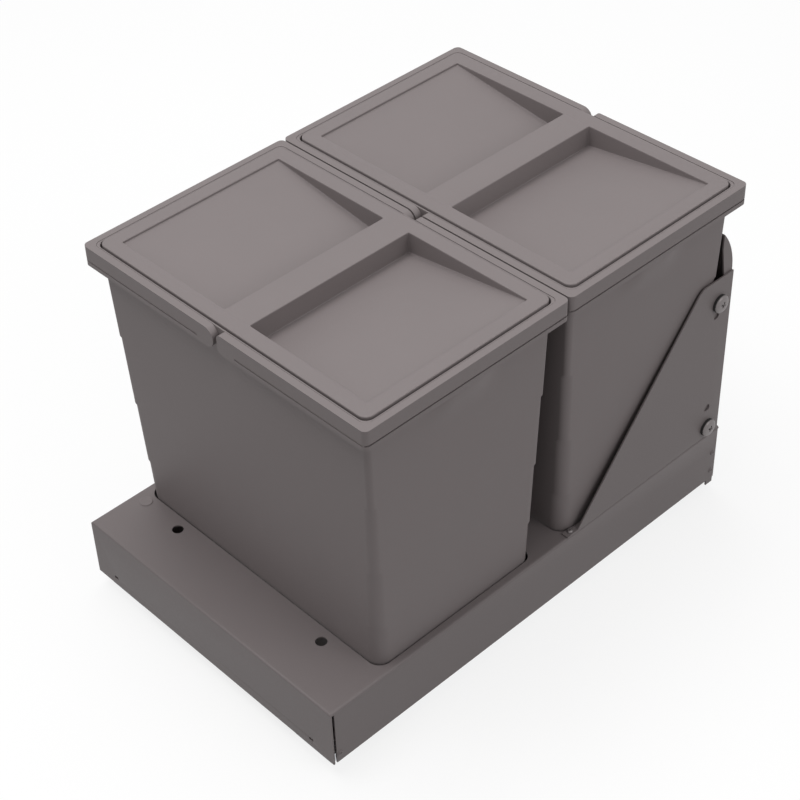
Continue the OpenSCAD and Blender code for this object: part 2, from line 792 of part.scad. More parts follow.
module ring_skin(rings) {
    n = 4 * (corner_n + 1) + 2 * (2 * bulge_n + 1);
    last = (len(rings) - 1) * n;
    low_mid = last + n;
    high_mid = low_mid + 1;
    pts = concat([for (g = rings) each ring_points(g)],
                 [[0, 0, rings[0][3]], [0, 0, rings[len(rings) - 1][3]]]);
    polyhedron(pts, concat(
        [for (i = [0:n - 1]) [low_mid, i, (i + 1) % n]],
        [for (k = [0:len(rings) - 2], i = [0:n - 1])
            let (a = k * n, b = a + n, j = (i + 1) % n) each [[a + i, b + i, b + j], [a + i, b + j, a + j]]],
        [for (i = [0:n - 1]) [high_mid, last + (i + 1) % n, last + i]]), convexity = 6);
}

function wall_x(z) = bin_hx + bin_taper * (z - deck_z);
function wall_y(z) = bin_hy + bin_taper * (z - deck_z);
function stage_r(k) = bin_corner_r + (3 - k) * corner_step;
function wall_ring(z, k, inset, out) = [wall_x(z) - inset, wall_y(z) - inset, stage_r(k) - inset / 2, z, out];

function bin_rings() =
    let (seat_r = 8, in = bin_wall, floor_z = bin_low + floor_t) concat(
    [wall_ring(bin_low, 0, 5, 0), wall_ring(bin_low + 1.5, 0, 1.6, 0), wall_ring(bin_low + 5, 0, 0, 0)],
    [for (k = [0:2]) each [wall_ring(step_zs[k], k, 0, 0), wall_ring(step_zs[k] + step_rise, k + 1, 0, 0)]],
    [for (s = [[1, 0], [0.67, 0.22], [0.36, 0.62], [0.14, 0.92], [0.02, 1]])
        wall_ring(bulge_top - s[0] * bulge_h, 3, 0, s[1] * bulge_out)],
    [wall_ring(bulge_top, 3, 0, 0), wall_ring(ledge_low, 3, 0, 0),
     [lip_out_x, lip_out_y, lip_r, ledge_low + 1, 0], [lip_out_x, lip_out_y, lip_r, lip_top, 0],
     [lip_out_x - lip_t, lip_out_y - lip_t, seat_r, lip_top, 0],
     [lip_out_x - lip_t, lip_out_y - lip_t, seat_r, lid_seat, 0],
     wall_ring(lid_seat - 0.6, 3, in, 0), wall_ring(step_zs[2], 2, in, 0),
     wall_ring(floor_z + 8, 0, in, 0), wall_ring(floor_z + 2, 0, in + 2, 0),
     wall_ring(floor_z, 0, in + 6, 0)]);

module bin() {
    color(plastic) {
        ring_skin(bin_rings());
        for (sx = [-1, 1]) {
            rod_y(stud_r, lip_out_y - 1, lip_out_y + lip_gap + stud_l, sx * pivot_x, pivot_z);
            rod_y(stud_r, -lip_out_y - lip_gap - stud_l, -lip_out_y + 1, sx * pivot_x, pivot_z);
        }
    }
}

module rear_bin() { translate([0, rear_bin_y, 0]) bin(); }
module front_bin() { translate([0, front_bin_y, 0]) bin(); }

// Lids: a shallow cap with two sloping hand recesses beside a grip bar
module recess(grow, top) {
    x0 = recess_x0 - grow;
    x1 = recess_x1 + grow;
    hy = recess_hy + grow;
    along_y(-hy, hy) polygon([[x0, top], [x0, lid_top - recess_depth - grow],
                              [x1, lid_top - recess_lip - grow], [x1, top]]);
}

module lid() {
    color(plastic) difference() {
        union() {
            difference() {
                rounded_block(lid_hx, lid_hy, lid_r, lid_low, lid_top);
                rounded_block(lid_hx - lid_t, lid_hy - lid_t, lid_r - lid_t, lid_low - 1, lid_top - lid_t);
            }
            both_sides() mirror([1, 0, 0]) recess(lid_t, lid_top - lid_t / 2);
        }
        both_sides() mirror([1, 0, 0]) recess(0, lid_top + 1);
    }
}

module rear_lid() { translate([0, rear_bin_y, 0]) lid(); }
module front_lid() { translate([0, front_bin_y, 0]) lid(); }

// Bails: a flat hoop round one half of the rim, with its ends on the pivot studs
module square_end() {
    r = bail_end_r;
    half = bail_h / 2;
    translate([0, -half]) square([half - r, bail_h]);
    translate([0, -half + r]) square([half, bail_h - 2 * r]);
    for (s = [-1, 1]) translate([half - r, s * (half - r)]) circle(r);
}

module bail(side, y) {
    color(plastic) translate([0, y, 0]) on_side(side) difference() {
        union() {
            intersection() {
                difference() {
                    rounded_block(bail_hx, bail_hy, bail_corner_r, bail_low, rim_z);
                    rounded_block(bail_in_x, bail_in_y, bail_inner_r, bail_low - 1, rim_z + 1);
                }
                box(-bail_hx - 1, -pivot_x, -bail_hy - 1, bail_hy + 1, bail_low - 1, rim_z + 1);
            }
            for (y0 = [-bail_hy, bail_in_y]) {
                if (side < 0)
                    translate([-pivot_x, y0 + arm_t, pivot_z]) rotate([90, 0, 0])
                        linear_extrude(arm_t) square_end();
                else
                    rod_y(bail_h / 2, y0, y0 + arm_t, -pivot_x, pivot_z);
            }
        }
        rod_y(stud_r + stud_gap, bail_in_y - 1, bail_in_y + stud_l + 0.2, -pivot_x, pivot_z);
        rod_y(stud_r + stud_gap, -bail_in_y - stud_l - 0.2, -bail_in_y + 1, -pivot_x, pivot_z);
    }
}

module rear_left_bail() { bail(-1, rear_bin_y); }
module rear_right_bail() { bail(1, rear_bin_y); }
module front_left_bail() { bail(-1, front_bin_y); }
module front_right_bail() { bail(1, front_bin_y); }

front_floor_strap();
rear_floor_strap();
left_fixed_rail();
right_fixed_rail();
rail_rivets();
rail_buffers();
left_middle_rail();
right_middle_rail();
left_outer_cages();
right_outer_cages();
outer_balls();
left_inner_cages();
right_inner_cages();
inner_balls();
left_tray_rail();
right_tray_rail();
rail_screws();
left_bearer();
right_bearer();
front_cross_member();
tray_pan();
tray_rivets();
blank_plug();
left_bracket();
right_bracket();
foot_screws();
panel_carrier();
upper_clamp_screws();
upper_clamp_washers();
lower_clamp_screws();
lower_clamp_washers();
clamp_nuts();
rear_bin();
front_bin();
rear_lid();
front_lid();
rear_left_bail();
rear_right_bail();
front_left_bail();
front_right_bail();
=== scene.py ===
"""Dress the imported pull-out bin frame with moulded plastic, powder-coated sheet and plated fixings."""

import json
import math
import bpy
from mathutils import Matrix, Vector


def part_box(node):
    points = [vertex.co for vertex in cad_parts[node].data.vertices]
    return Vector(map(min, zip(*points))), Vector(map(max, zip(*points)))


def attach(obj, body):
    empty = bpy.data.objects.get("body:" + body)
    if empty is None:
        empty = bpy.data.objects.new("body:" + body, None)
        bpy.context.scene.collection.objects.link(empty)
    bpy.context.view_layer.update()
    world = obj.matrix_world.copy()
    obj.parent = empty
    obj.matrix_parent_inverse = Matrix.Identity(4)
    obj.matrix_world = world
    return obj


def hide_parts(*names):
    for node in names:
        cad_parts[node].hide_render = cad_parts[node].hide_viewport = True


bl_info = {
    "name": "Pull-out bin frame",
    "version": (1, 0, 0),
    "blender": (4, 5, 0),
    "location": "View3D > Sidebar > Bin frame",
    "description": "Builds the visible pieces of a pull-out frame with two lidded bins",
    "category": "Object",
}

import bmesh
import bpy
from bpy.props import FloatProperty, FloatVectorProperty, IntProperty, PointerProperty
from mathutils import Matrix, Vector

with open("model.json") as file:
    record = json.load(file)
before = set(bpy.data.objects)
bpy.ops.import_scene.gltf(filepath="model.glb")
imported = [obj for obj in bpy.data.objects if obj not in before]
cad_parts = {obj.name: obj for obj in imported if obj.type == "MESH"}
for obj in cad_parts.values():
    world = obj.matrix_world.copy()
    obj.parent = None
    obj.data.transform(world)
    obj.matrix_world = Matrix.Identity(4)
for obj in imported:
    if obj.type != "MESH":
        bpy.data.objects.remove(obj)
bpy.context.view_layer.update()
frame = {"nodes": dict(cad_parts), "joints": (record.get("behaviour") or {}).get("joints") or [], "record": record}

DECK_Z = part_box("tray_pan")[1].z
TRAY_HALF_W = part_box("tray_pan")[1].x
RIM_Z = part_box("rear_left_bail")[1].z
BAIL_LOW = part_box("rear_left_bail")[0].z
BODY_OF = {node: body for body, nodes in frame["record"]["behaviour"]["bodies"].items() for node in nodes}

# Tolerances in metres and radians
WELD = 0.000002
SEAM = 0.000001
TOUCH = 0.00002
SLACK = 0.0001
FLAT_ANGLE = math.radians(0.4)
FOLD_ANGLE = 0.5
SHARP_ANGLE = 0.52

# Profiles of turned heads: shares of the radius and of the height
SCREW_HEAD = ((0.0, 1.0), (0.40, 0.98), (0.66, 0.90), (0.86, 0.72), (0.97, 0.44), (1.0, 0.16), (0.98, 0.0))
RIVET_HEAD = ((0.0, 0.20), (0.30, 0.22), (0.36, 0.70), (0.48, 0.98), (0.70, 0.90), (0.90, 0.50),
              (1.0, 0.10), (1.0, 0.0))
PLUG_HEAD = ((0.0, 0.625), (0.70, 0.625), (0.78, 0.90), (0.86, 1.0), (0.95, 0.825), (1.0, 0.375), (1.0, 0.0))

# Roundings of a bin's foot, outside and inside: height above its underside or floor, and inset, in metres
OUTER_FOOT = ((0.0, 0.005), (0.0006, 0.0030), (0.0020, 0.0011), (0.005, 0.0))
INNER_FOOT = ((0.008, 0.0), (0.002, 0.002), (0.0, 0.006))


def length(name, text, default):
    """A property that holds a length in metres."""
    return FloatProperty(name=name, description=text, default=default, unit="LENGTH", precision=5)


def share(name, text, default):
    """A property between nought and one."""
    return FloatProperty(name=name, description=text, default=default, min=0.0, max=1.0, subtype="FACTOR")


def number(name, text, default):
    """A property that holds a plain number."""
    return FloatProperty(name=name, description=text, default=default)


def power(name, text, default):
    """A property that holds a lamp's power in watts."""
    return FloatProperty(name=name, description=text, default=default, subtype="POWER")


def count(name, text, default):
    """A property that holds a whole number."""
    return IntProperty(name=name, description=text, default=default)


def spot(name, text, default):
    """A property that holds a place in metres."""
    return FloatVectorProperty(name=name, description=text, default=default, size=3, subtype="TRANSLATION")


def tint(name, text, default):
    """A colour property."""
    return FloatVectorProperty(name=name, description=text, default=default, size=3,
                               min=0.0, max=1.0, subtype="COLOR")


class PlasticLook(bpy.types.PropertyGroup):
    """Moulded plastic of the bins, lids and bails."""

    colour: tint("Colour", "Colour of the moulded plastic", (0.217, 0.189, 0.189))
    roughness: share("Roughness", "Mean roughness of the moulded grain", 0.56)
    grain: number("Grain", "Grains of the mould texture per metre", 1500.0)
    grain_depth: length("Grain depth", "Depth of the mould texture", 0.00016)


class PaintLook(bpy.types.PropertyGroup):
    """Powder coat on the sheet steel."""

    colour: tint("Colour", "Colour of the powder coat", (0.197, 0.171, 0.171))
    roughness: share("Roughness", "Mean roughness of the coat", 0.5)
    ripple: number("Ripple", "Ripples of the coat per metre", 620.0)
    ripple_depth: length("Ripple depth", "Depth of the coat's ripples", 0.00009)


class PlateLook(bpy.types.PropertyGroup):
    """Zinc plate on the rails and fixings."""

    colour: tint("Bright colour", "Colour of the bright plate on the rails", (0.56, 0.57, 0.59))
    dark_colour: tint("Dark colour", "Colour of the grey plate on the screws", (0.23, 0.208, 0.208))
    roughness: share("Roughness", "Mean roughness of the bright plate", 0.36)
    dark_roughness: share("Dark roughness", "Mean roughness of the grey plate", 0.42)
    dark_metal: share("Dark metal", "How metallic the grey plate is", 0.55)


class BinSizes(bpy.types.PropertyGroup):
    """Shape of a bin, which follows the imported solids."""

    half_w: length("Half width", "Half width of a bin at the deck", 0.1515)
    half_d: length("Half depth", "Half depth of a bin at the deck", 0.0916)
    taper: number("Taper", "Sideways growth of a wall for each unit of height", 0.029)
    wall: length("Wall", "Wall thickness", 0.0022)
    floor: length("Floor", "Floor thickness", 0.0025)
    corner: length("Corner", "Corner radius at the top", 0.005)
    corner_step: length("Corner step", "Growth of the corner radius at each step", 0.00275)
    corner_least: length("Least corner", "Smallest radius that a corner may have", 0.002)
    first_step: length("First step", "Height of the first corner step above the deck", 0.043)
    second_step: length("Second step", "Height of the second corner step above the deck", 0.109)
    third_step: length("Third step", "Height of the third corner step above the deck", 0.183)
    step_rise: length("Step rise", "Height over which a corner step runs out", 0.0008)
    lip_half_w: length("Lip half width", "Half width over the upright lip", 0.16265)
    lip_half_d: length("Lip half depth", "Half depth over the upright lip", 0.1024)
    lip: length("Lip", "Thickness of the upright lip", 0.0016)
    lip_r: length("Lip radius", "Corner radius outside the lip", 0.006)
    lip_inner_r: length("Inner lip radius", "Corner radius inside the lip", 0.008)
    lip_edge: length("Lip edge", "Bevel along the top of the lip", 0.0004)
    lip_drop: length("Lip drop", "Depth of the lip below the rim", 0.0001)
    ledge_up: length("Ledge", "Height of the lip's ledge above a bail's lower edge", 0.0055)
    ledge_rise: length("Ledge rise", "Height over which the ledge runs out", 0.001)
    seat_down: length("Seat", "Depth of the lid's seat below the rim", 0.007)
    seat_rise: length("Seat rise", "Height over which the seat runs in", 0.0006)
    bulge: length("Bulge", "How far the wall stands out under the grip", 0.006)
    bulge_half: length("Bulge half length", "Half length of the bulge", 0.044)
    bulge_h: length("Bulge height", "Height of the bulge", 0.036)
    bulge_gap: length("Bulge gap", "Gap between the bulge and a bail", 0.0008)
    bulge_edge: length("Bulge edge", "Height over which the top of the bulge runs in", 0.0006)
    bulge_end: share("Bulge end", "How much of its height the bulge fills", 0.99)
    bulge_spread: share("Bulge spread", "How broad the bulge is before it falls off to its ends", 0.7)
    stud: length("Stud", "Radius of a bail stud", 0.002)
    stud_l: length("Stud length", "Length of a bail stud", 0.006)
    stud_root: length("Stud root", "Depth of a bail stud in the lip", 0.001)
    corner_cuts: count("Corner cuts", "Faces round a corner", 10)
    side_cuts: count("Side cuts", "Points along the side for the bulge", 29)
    bulge_cuts: count("Bulge cuts", "Rings up the bulge", 12)
    stud_cuts: count("Stud cuts", "Faces round a bail stud", 24)


class EdgeSizes(bpy.types.PropertyGroup):
    """Rounding of edges, and the groove round the bails."""

    lid: length("Lid edge", "Rounding of a lid's edges", 0.0009)
    bail: length("Bail edge", "Rounding of a bail's edges", 0.0012)
    groove_up: length("Groove height", "Height of the groove above a bail's lower edge", 0.0040)
    groove: length("Groove", "Width of the groove round a bail", 0.0016)
    groove_side: length("Side groove depth", "Depth of the groove on the grip", 0.0025)
    groove_end: length("End groove depth", "Depth of the groove on the arms", 0.0006)
    groove_start: length("Groove start", "Distance of the groove's ends from the middle", 0.0225)
    grip_from: length("Grip start", "Distance from the middle where a bail lies along the lip", 0.1)
    grip_in: length("Grip inside", "Depth behind a bail's outside where its inside starts", 0.0055)
    fold: length("Fold", "Outside radius of a bracket's lower fold", 0.0005)
    sheet: length("Sheet edge", "Rounding of a cut sheet edge", 0.00025)
    rail: length("Rail edge", "Rounding of a rolled rail's edges", 0.00015)
    buffer: length("Buffer edge", "Rounding of a rubber buffer's edges", 0.0012)
    nut: length("Nut edge", "Rounding of a nut's edges", 0.0003)


class FixingSizes(bpy.types.PropertyGroup):
    """Sizes of the screws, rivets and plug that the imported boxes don't give."""

    clamp_shank: length("Clamp shank", "Radius of a clamp screw's shank", 0.003)
    clamp_turn: number("Clamp turn", "Turn of a clamp screw's cross in radians", 0.4)
    foot_shank: length("Foot shank", "Radius of a foot screw's shank", 0.00125)
    foot_head: length("Foot head", "Height of a foot screw's head", 0.002)
    foot_turn: number("Foot turn", "Turn of a foot screw's cross in radians", 0.6)
    point_r: share("Point radius", "Radius of a screw's end for each unit of shank radius", 0.7)
    point_l: share("Point length", "Length of a screw's end for each unit of shank radius", 0.3)
    screw_cuts: count("Screw cuts", "Faces round a screw", 48)
    cross_l: number("Cross length", "Length of a cross recess for each unit of head radius", 1.05)
    cross_w: number("Cross width", "Width of a cross recess for each unit of head radius", 0.24)
    cross_h: number("Cross depth", "Height of a cross recess for each unit of head height", 1.1)
    cross_end_l: share("Cross end length", "How much of its length the recess keeps at the bottom", 0.45)
    cross_end_w: share("Cross end width", "How much of its width the recess keeps at the bottom", 0.7)
    rivet_stem: length("Rivet stem", "Radius of a rivet's stem", 0.0016)
    rivet_head: length("Rivet head", "Height of a rivet's head", 0.001)
    rivet_cuts: count("Rivet cuts", "Faces round a rivet", 40)
    plug_head: length("Plug head", "Height of the plug's head", 0.0008)
    plug_ledge: length("Plug ledge", "How far the plug's head stands over its stem", 0.00125)
    plug_cuts: count("Plug cuts", "Faces round the plug", 56)


class StageLook(bpy.types.PropertyGroup):
    """Floor, lamps and camera."""

    floor_half: length("Floor size", "Half the width of the floor", 12.0)
    floor_drop: length("Floor drop", "Depth of the floor below the straps", 0.0004)
    floor_colour: tint("Floor", "Colour of the floor where it lights the pieces", (0.35, 0.35, 0.35))
    floor_shade: tint("Floor shade", "Colour of the floor where it is seen", (0.22, 0.22, 0.22))
    floor_glow: number("Floor glow", "Light of the floor where it is seen", 0.80)
    sky: number("Sky", "Strength of the even light from all round", 0.455)
    key_power: power("Key", "Power of the lamp over the front", 13.0)
    key_place: spot("Key place", "Place of the lamp over the front", (0.6, -0.3, 2.4))
    rear_power: power("Rear", "Power of the lamp over the rear", 17.0)
    rear_place: spot("Rear place", "Place of the lamp over the rear", (0.3, 0.7, 2.4))
    high_size: length("High lamp size", "Width of the two lamps above", 1.2)
    side_power: power("Side", "Power of the lamp at the side", 6.6)
    side_place: spot("Side place", "Place of the lamp at the side", (-1.7, -0.4, 1.4))
    side_size: length("Side lamp size", "Width of the lamp at the side", 1.0)
    aim: spot("Aim", "Point that the lamps face", (0.0, 0.0, 0.2))
    lens: number("Lens", "Focal length in millimetres", 83.3992)
    sensor: number("Sensor", "Width of the sensor in millimetres", 36.0)
    azimuth: number("Azimuth", "Heading of the camera in degrees", 229.7756)
    elevation: number("Elevation", "Height of the camera in degrees", 40.1347)
    roll: number("Roll", "Roll of the camera in degrees", -3.7446)
    shift: number("Shift", "Sideways shift of the picture", 0.08)
    place: spot("Place", "Place of the camera", (-0.916077, 0.857818, 1.226788))
    reach: length("Reach", "Greatest distance that the camera sees", 60.0)


class BinFrameLook(bpy.types.PropertyGroup):
    """All the settings of the bin frame."""

    plastic: PointerProperty(type=PlasticLook)
    paint: PointerProperty(type=PaintLook)
    plate: PointerProperty(type=PlateLook)
    bin: PointerProperty(type=BinSizes)
    edge: PointerProperty(type=EdgeSizes)
    fixing: PointerProperty(type=FixingSizes)
    stage: PointerProperty(type=StageLook)


class Value:
    """A shader socket that takes part in sums."""

    def __init__(self, tree, socket):
        self.tree = tree
        self.socket = socket

    def _math(self, operation, first, second):
        """Add a node that works out one sum."""
        return self.tree.node("ShaderNodeMath", {"operation": operation}, {0: first, 1: second}).out("Value")

    def __add__(self, other):
        return self._math("ADD", self, other)

    def __sub__(self, other):
        return self._math("SUBTRACT", self, other)

    def __mul__(self, other):
        return self._math("MULTIPLY", self, other)


class Made:
    """A node that has been added, with its outputs by name."""

    def __init__(self, tree, node):
        self.tree = tree
        self.node = node

    def out(self, name):
        """The output of that name, as a value."""
        return Value(self.tree, self.node.outputs[name])


class ShaderTree:
    """A material's or world's nodes."""

    def __init__(self, owner):
        owner.use_nodes = True
        self.tree = owner.node_tree
        self.tree.nodes.clear()

    def node(self, kind, settings=None, values=None):
        """Add a node, set it up and fill or link its sockets."""
        made = self.tree.nodes.new(kind)
        for key, setting in (settings or {}).items():
            if key == "stops":
                for stop, (place, colour) in zip(made.color_ramp.elements, setting):
                    stop.position = place
                    stop.color = colour
            else:
                setattr(made, key, setting)
        for key, value in (values or {}).items():
            if isinstance(value, Value):
                self.tree.links.new(value.socket, made.inputs[key])
            else:
                made.inputs[key].default_value = value
        return Made(self, made)

    def noise(self, coords, scale, detail=2.0, rough=0.5):
        """Soft noise between nought and one."""
        return self.node("ShaderNodeTexNoise", None, {
            "Vector": coords, "Scale": scale, "Detail": detail, "Roughness": rough}).out("Fac")

    def blend(self, factor, first, second):
        """Mix two colours."""
        mixed = self.node("ShaderNodeMix", {"data_type": "RGBA"}, {0: factor, 6: first, 7: second})
        return Value(self, mixed.node.outputs[2])

    def place(self):
        """The place on the piece, in its own metres."""
        return self.node("ShaderNodeTexCoord").out("Object")

    def mapped(self, coords, scale):
        """Coordinates stretched along each axis."""
        return self.node("ShaderNodeMapping", None, {"Vector": coords, "Scale": scale}).out("Vector")

    def bump(self, height, strength, depth):
        """A normal that follows a height."""
        return self.node("ShaderNodeBump", None, {
            "Strength": strength, "Distance": depth, "Height": height}).out("Normal")

    def matt(self, colour):
        """A plain matt surface."""
        return self.node("ShaderNodeBsdfDiffuse", None, {"Color": shade(colour, 1.0)}).out("BSDF")

    def backdrop(self, strength):
        """White light from all round."""
        values = {"Color": (1.0, 1.0, 1.0, 1.0), "Strength": strength}
        return self.node("ShaderNodeBackground", None, values).out("Background")

    def seen(self):
        """One where the camera, a reflection or a view through glass looks, and nought elsewhere."""
        rays = self.node("ShaderNodeLightPath")
        return rays.out("Is Camera Ray") + rays.out("Is Glossy Ray") + rays.out("Is Transmission Ray")

    def surface(self, values):
        """End the tree in a surface with these values."""
        made = self.node("ShaderNodeBsdfPrincipled", None, values)
        self.node("ShaderNodeOutputMaterial", None, {"Surface": made.out("BSDF")})


def shade(colour, factor):
    """A colour scaled by a factor, with alpha."""
    return tuple(min(1.0, c * factor) for c in colour) + (1.0,)


def moulded_plastic(look):
    """Warm grey plastic with a fine spark-eroded grain and faint flow marks."""
    material = bpy.data.materials.new("moulded_plastic")
    tree = ShaderTree(material)
    place = tree.place()
    grain = tree.noise(place, scale=look.grain, detail=3.0, rough=0.6)
    cloud = tree.noise(place, scale=11.0, detail=3.0, rough=0.5)
    flow = tree.noise(tree.mapped(place, (14.0, 14.0, 3.0)), scale=2.2, detail=2.0, rough=0.45)
    rub = tree.noise(tree.mapped(place, (60.0, 8.0, 60.0)), scale=3.0, detail=4.0, rough=0.65)
    rub_stops = ((0.58, (0, 0, 0, 1)), (0.78, (1, 1, 1, 1)))
    rub_mask = tree.node("ShaderNodeValToRGB", {"stops": rub_stops}, {"Fac": rub}).out("Color")
    body = tree.blend(cloud, shade(look.colour, 0.95), shade(look.colour, 1.05))
    body = tree.blend(flow * 0.25, body, shade(look.colour, 1.10))
    body = tree.blend(grain * 0.20, body, shade(look.colour, 0.86))
    rough = (grain - 0.5) * 0.16 + (cloud - 0.5) * 0.08 + look.roughness - rub_mask * 0.04
    tree.surface({"Base Color": body, "Roughness": rough, "IOR": 1.49, "Specular IOR Level": 0.3,
                  "Normal": tree.bump(grain, strength=0.55, depth=look.grain_depth)})
    return material


def powder_coat(look):
    """Warm dark grey powder coat with a fine orange peel and a faint speckle."""
    material = bpy.data.materials.new("powder_coat")
    tree = ShaderTree(material)
    place = tree.place()
    ripple = tree.noise(place, scale=look.ripple, detail=2.0, rough=0.45)
    speck = tree.noise(place, scale=2600.0, detail=2.0, rough=0.6)
    cloud = tree.noise(place, scale=7.0, detail=3.0, rough=0.5)
    body = tree.blend(cloud, shade(look.colour, 0.96), shade(look.colour, 1.04))
    body = tree.blend(speck * 0.3, body, shade(look.colour, 0.84))
    rough = (ripple - 0.5) * 0.12 + (cloud - 0.5) * 0.10 + look.roughness
    height = ripple * 0.8 + speck * 0.2
    tree.surface({"Base Color": body, "Roughness": rough, "IOR": 1.5, "Specular IOR Level": 0.3,
                  "Normal": tree.bump(height, strength=0.5, depth=look.ripple_depth)})
    return material


def plated_steel(name, colour, roughness, metal):
    """Plated steel with a cloudy sheen and fine drawn lines."""
    material = bpy.data.materials.new(name)
    tree = ShaderTree(material)
    place = tree.place()
    spangle = tree.node("ShaderNodeTexVoronoi", None, {"Vector": place, "Scale": 260.0}).out("Distance")
    drawn = tree.noise(tree.mapped(place, (900.0, 25.0, 900.0)), scale=1.0, detail=3.0, rough=0.6)
    cloud = tree.noise(place, scale=60.0, detail=3.0, rough=0.55)
    body = tree.blend(cloud, shade(colour, 0.88), shade(colour, 1.08))
    body = tree.blend(spangle * 0.3, body, shade(colour, 0.9))
    rough = (drawn - 0.5) * 0.18 + (cloud - 0.5) * 0.14 + roughness
    tree.surface({"Base Color": body, "Roughness": rough, "Metallic": metal,
                  "Normal": tree.bump(drawn, strength=0.25, depth=0.00005)})
    return material


def black_rubber(name, bloom_share):
    """Matt black rubber or nylon with a dusty bloom; on the clamp washers the black also stands in for painted
    shade round the screw heads.
    """
    material = bpy.data.materials.new(name)
    tree = ShaderTree(material)
    place = tree.place()
    bloom = tree.noise(place, scale=90.0, detail=4.0, rough=0.6)
    grain = tree.noise(place, scale=1800.0, detail=2.0, rough=0.5)
    body = tree.blend(bloom * bloom_share, (0.012, 0.011, 0.011, 1.0), (0.045, 0.042, 0.042, 1.0))
    tree.surface({"Base Color": body, "Roughness": bloom * 0.2 + 0.68,
                  "Normal": tree.bump(grain, strength=0.4, depth=0.0001)})
    return material


def finish_named(name):
    """The finish of that name, made once."""
    made = bpy.data.materials.get(name)
    if made is not None:
        return made
    look = bpy.context.scene.bin_frame
    if name == "moulded_plastic":
        return moulded_plastic(look.plastic)
    if name == "powder_coat":
        return powder_coat(look.paint)
    if name == "bright_plate":
        return plated_steel(name, look.plate.colour, look.plate.roughness, metal=1.0)
    if name == "grey_plate":
        return plated_steel(name, look.plate.dark_colour, look.plate.dark_roughness, look.plate.dark_metal)
    if name == "buffer_rubber":
        return black_rubber(name, bloom_share=1.0)
    # Black nylon for the clamp washers, whose black sides also stand in for painted shade round the screw heads
    if name == "black_nylon_and_shade":
        return black_rubber(name, bloom_share=0.4)
    raise ValueError("there is no finish named " + name)


def show(bm, name, nodes, finish, smooth_angle=35.0):
    """Turn a bmesh into a piece that stands for CAD nodes of one body."""
    mesh = bpy.data.meshes.new(name)
    bm.to_mesh(mesh)
    bm.free()
    mesh.shade_smooth()
    mesh.set_sharp_from_angle(angle=math.radians(smooth_angle))
    piece = bpy.data.objects.new(name, mesh)
    bpy.context.scene.collection.objects.link(piece)
    mesh.materials.append(finish_named(finish))
    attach(piece, BODY_OF[nodes[0]])
    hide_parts(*nodes)
    return piece


def ease(piece, width, segments=2, angle=30.0):
    """Round a piece's edges."""
    rounding = piece.modifiers.new("edges", "BEVEL")
    rounding.width = width
    rounding.segments = segments
    rounding.limit_method = "ANGLE"
    rounding.angle_limit = math.radians(angle)
    rounding.harden_normals = True
    rounding.miter_outer = "MITER_ARC"
    return rounding


def merged_copy(node):
    """A CAD node's mesh as a bmesh with its corners joined and flat faces made whole."""
    bm = bmesh.new()
    bm.from_mesh(frame["nodes"][node].data)
    bmesh.ops.remove_doubles(bm, verts=bm.verts, dist=WELD)
    bmesh.ops.dissolve_limit(bm, angle_limit=FLAT_ANGLE, verts=bm.verts, edges=bm.edges)
    return bm


def fold_edges(bm, test, radius):
    """Round the folds whose two ends pass a test."""
    edges = [e for e in bm.edges
             if all(test(v.co) for v in e.verts) and e.calc_face_angle(0.0) > FOLD_ANGLE]
    bmesh.ops.bevel(bm, geom=edges, offset=radius, offset_type="OFFSET", segments=4, profile=0.5,
                    affect="EDGES", material=-1)


def near(a, b):
    """Whether two lengths are the same."""
    return abs(a - b) < TOUCH


def turned(bm, profile, steps):
    """Spin a profile of (radius, height) points about Z into a closed solid."""
    verts = [bm.verts.new((r, 0.0, h)) for r, h in profile]
    edges = [bm.edges.new(pair) for pair in zip(verts, verts[1:])]
    bmesh.ops.spin(bm, geom=verts + edges, cent=(0, 0, 0), axis=(0, 0, 1), dvec=(0, 0, 0),
                   angle=math.tau, steps=steps, use_merge=True)
    bmesh.ops.remove_doubles(bm, verts=bm.verts, dist=SEAM)
    bmesh.ops.recalc_face_normals(bm, faces=bm.faces)


def solids_of(node):
    """The two corners of the box round each separate solid of a CAD node."""
    bm = bmesh.new()
    bm.from_mesh(frame["nodes"][node].data)
    bmesh.ops.remove_doubles(bm, verts=bm.verts, dist=WELD)
    left = set(bm.verts)
    boxes = []
    while left:
        seed = [left.pop()]
        group = list(seed)
        while seed:
            for edge in seed.pop().link_edges:
                for v in edge.verts:
                    if v in left:
                        left.discard(v)
                        seed.append(v)
                        group.append(v)
        lo = Vector(min(v.co[k] for v in group) for k in range(3))
        hi = Vector(max(v.co[k] for v in group) for k in range(3))
        boxes.append((lo, hi))
    bm.free()
    return boxes


def spread(mesh, places):
    """One bmesh with a copy of a mesh at each place."""
    bm = bmesh.new()
    for place in places:
        part = bmesh.new()
        part.from_mesh(mesh)
        bmesh.ops.transform(part, matrix=place, verts=part.verts)
        made = bpy.data.meshes.new("part")
        part.to_mesh(made)
        part.free()
        bm.from_mesh(made)
        bpy.data.meshes.remove(made)
    return bm


def cut_away(bm, cutter):
    """The mesh left when a cutter is taken from a bmesh."""
    parts = []
    for shape in (bm, cutter):
        mesh = bpy.data.meshes.new("part")
        shape.to_mesh(mesh)
        shape.free()
        parts.append(bpy.data.objects.new("part", mesh))
        bpy.context.scene.collection.objects.link(parts[-1])
    body, tool = parts
    cutting = body.modifiers.new("cut", "BOOLEAN")
    cutting.operation = "DIFFERENCE"
    cutting.solver = "EXACT"
    cutting.use_self = True
    cutting.object = tool
    bpy.context.view_layer.update()
    done = bpy.data.meshes.new_from_object(body.evaluated_get(bpy.context.evaluated_depsgraph_get()))
    for part in parts:
        bpy.data.objects.remove(part)
    return done


def scaled(profile, radius, height):
    """A profile's shares turned into metres."""
    return tuple((r * radius, h * height) for r, h in profile)


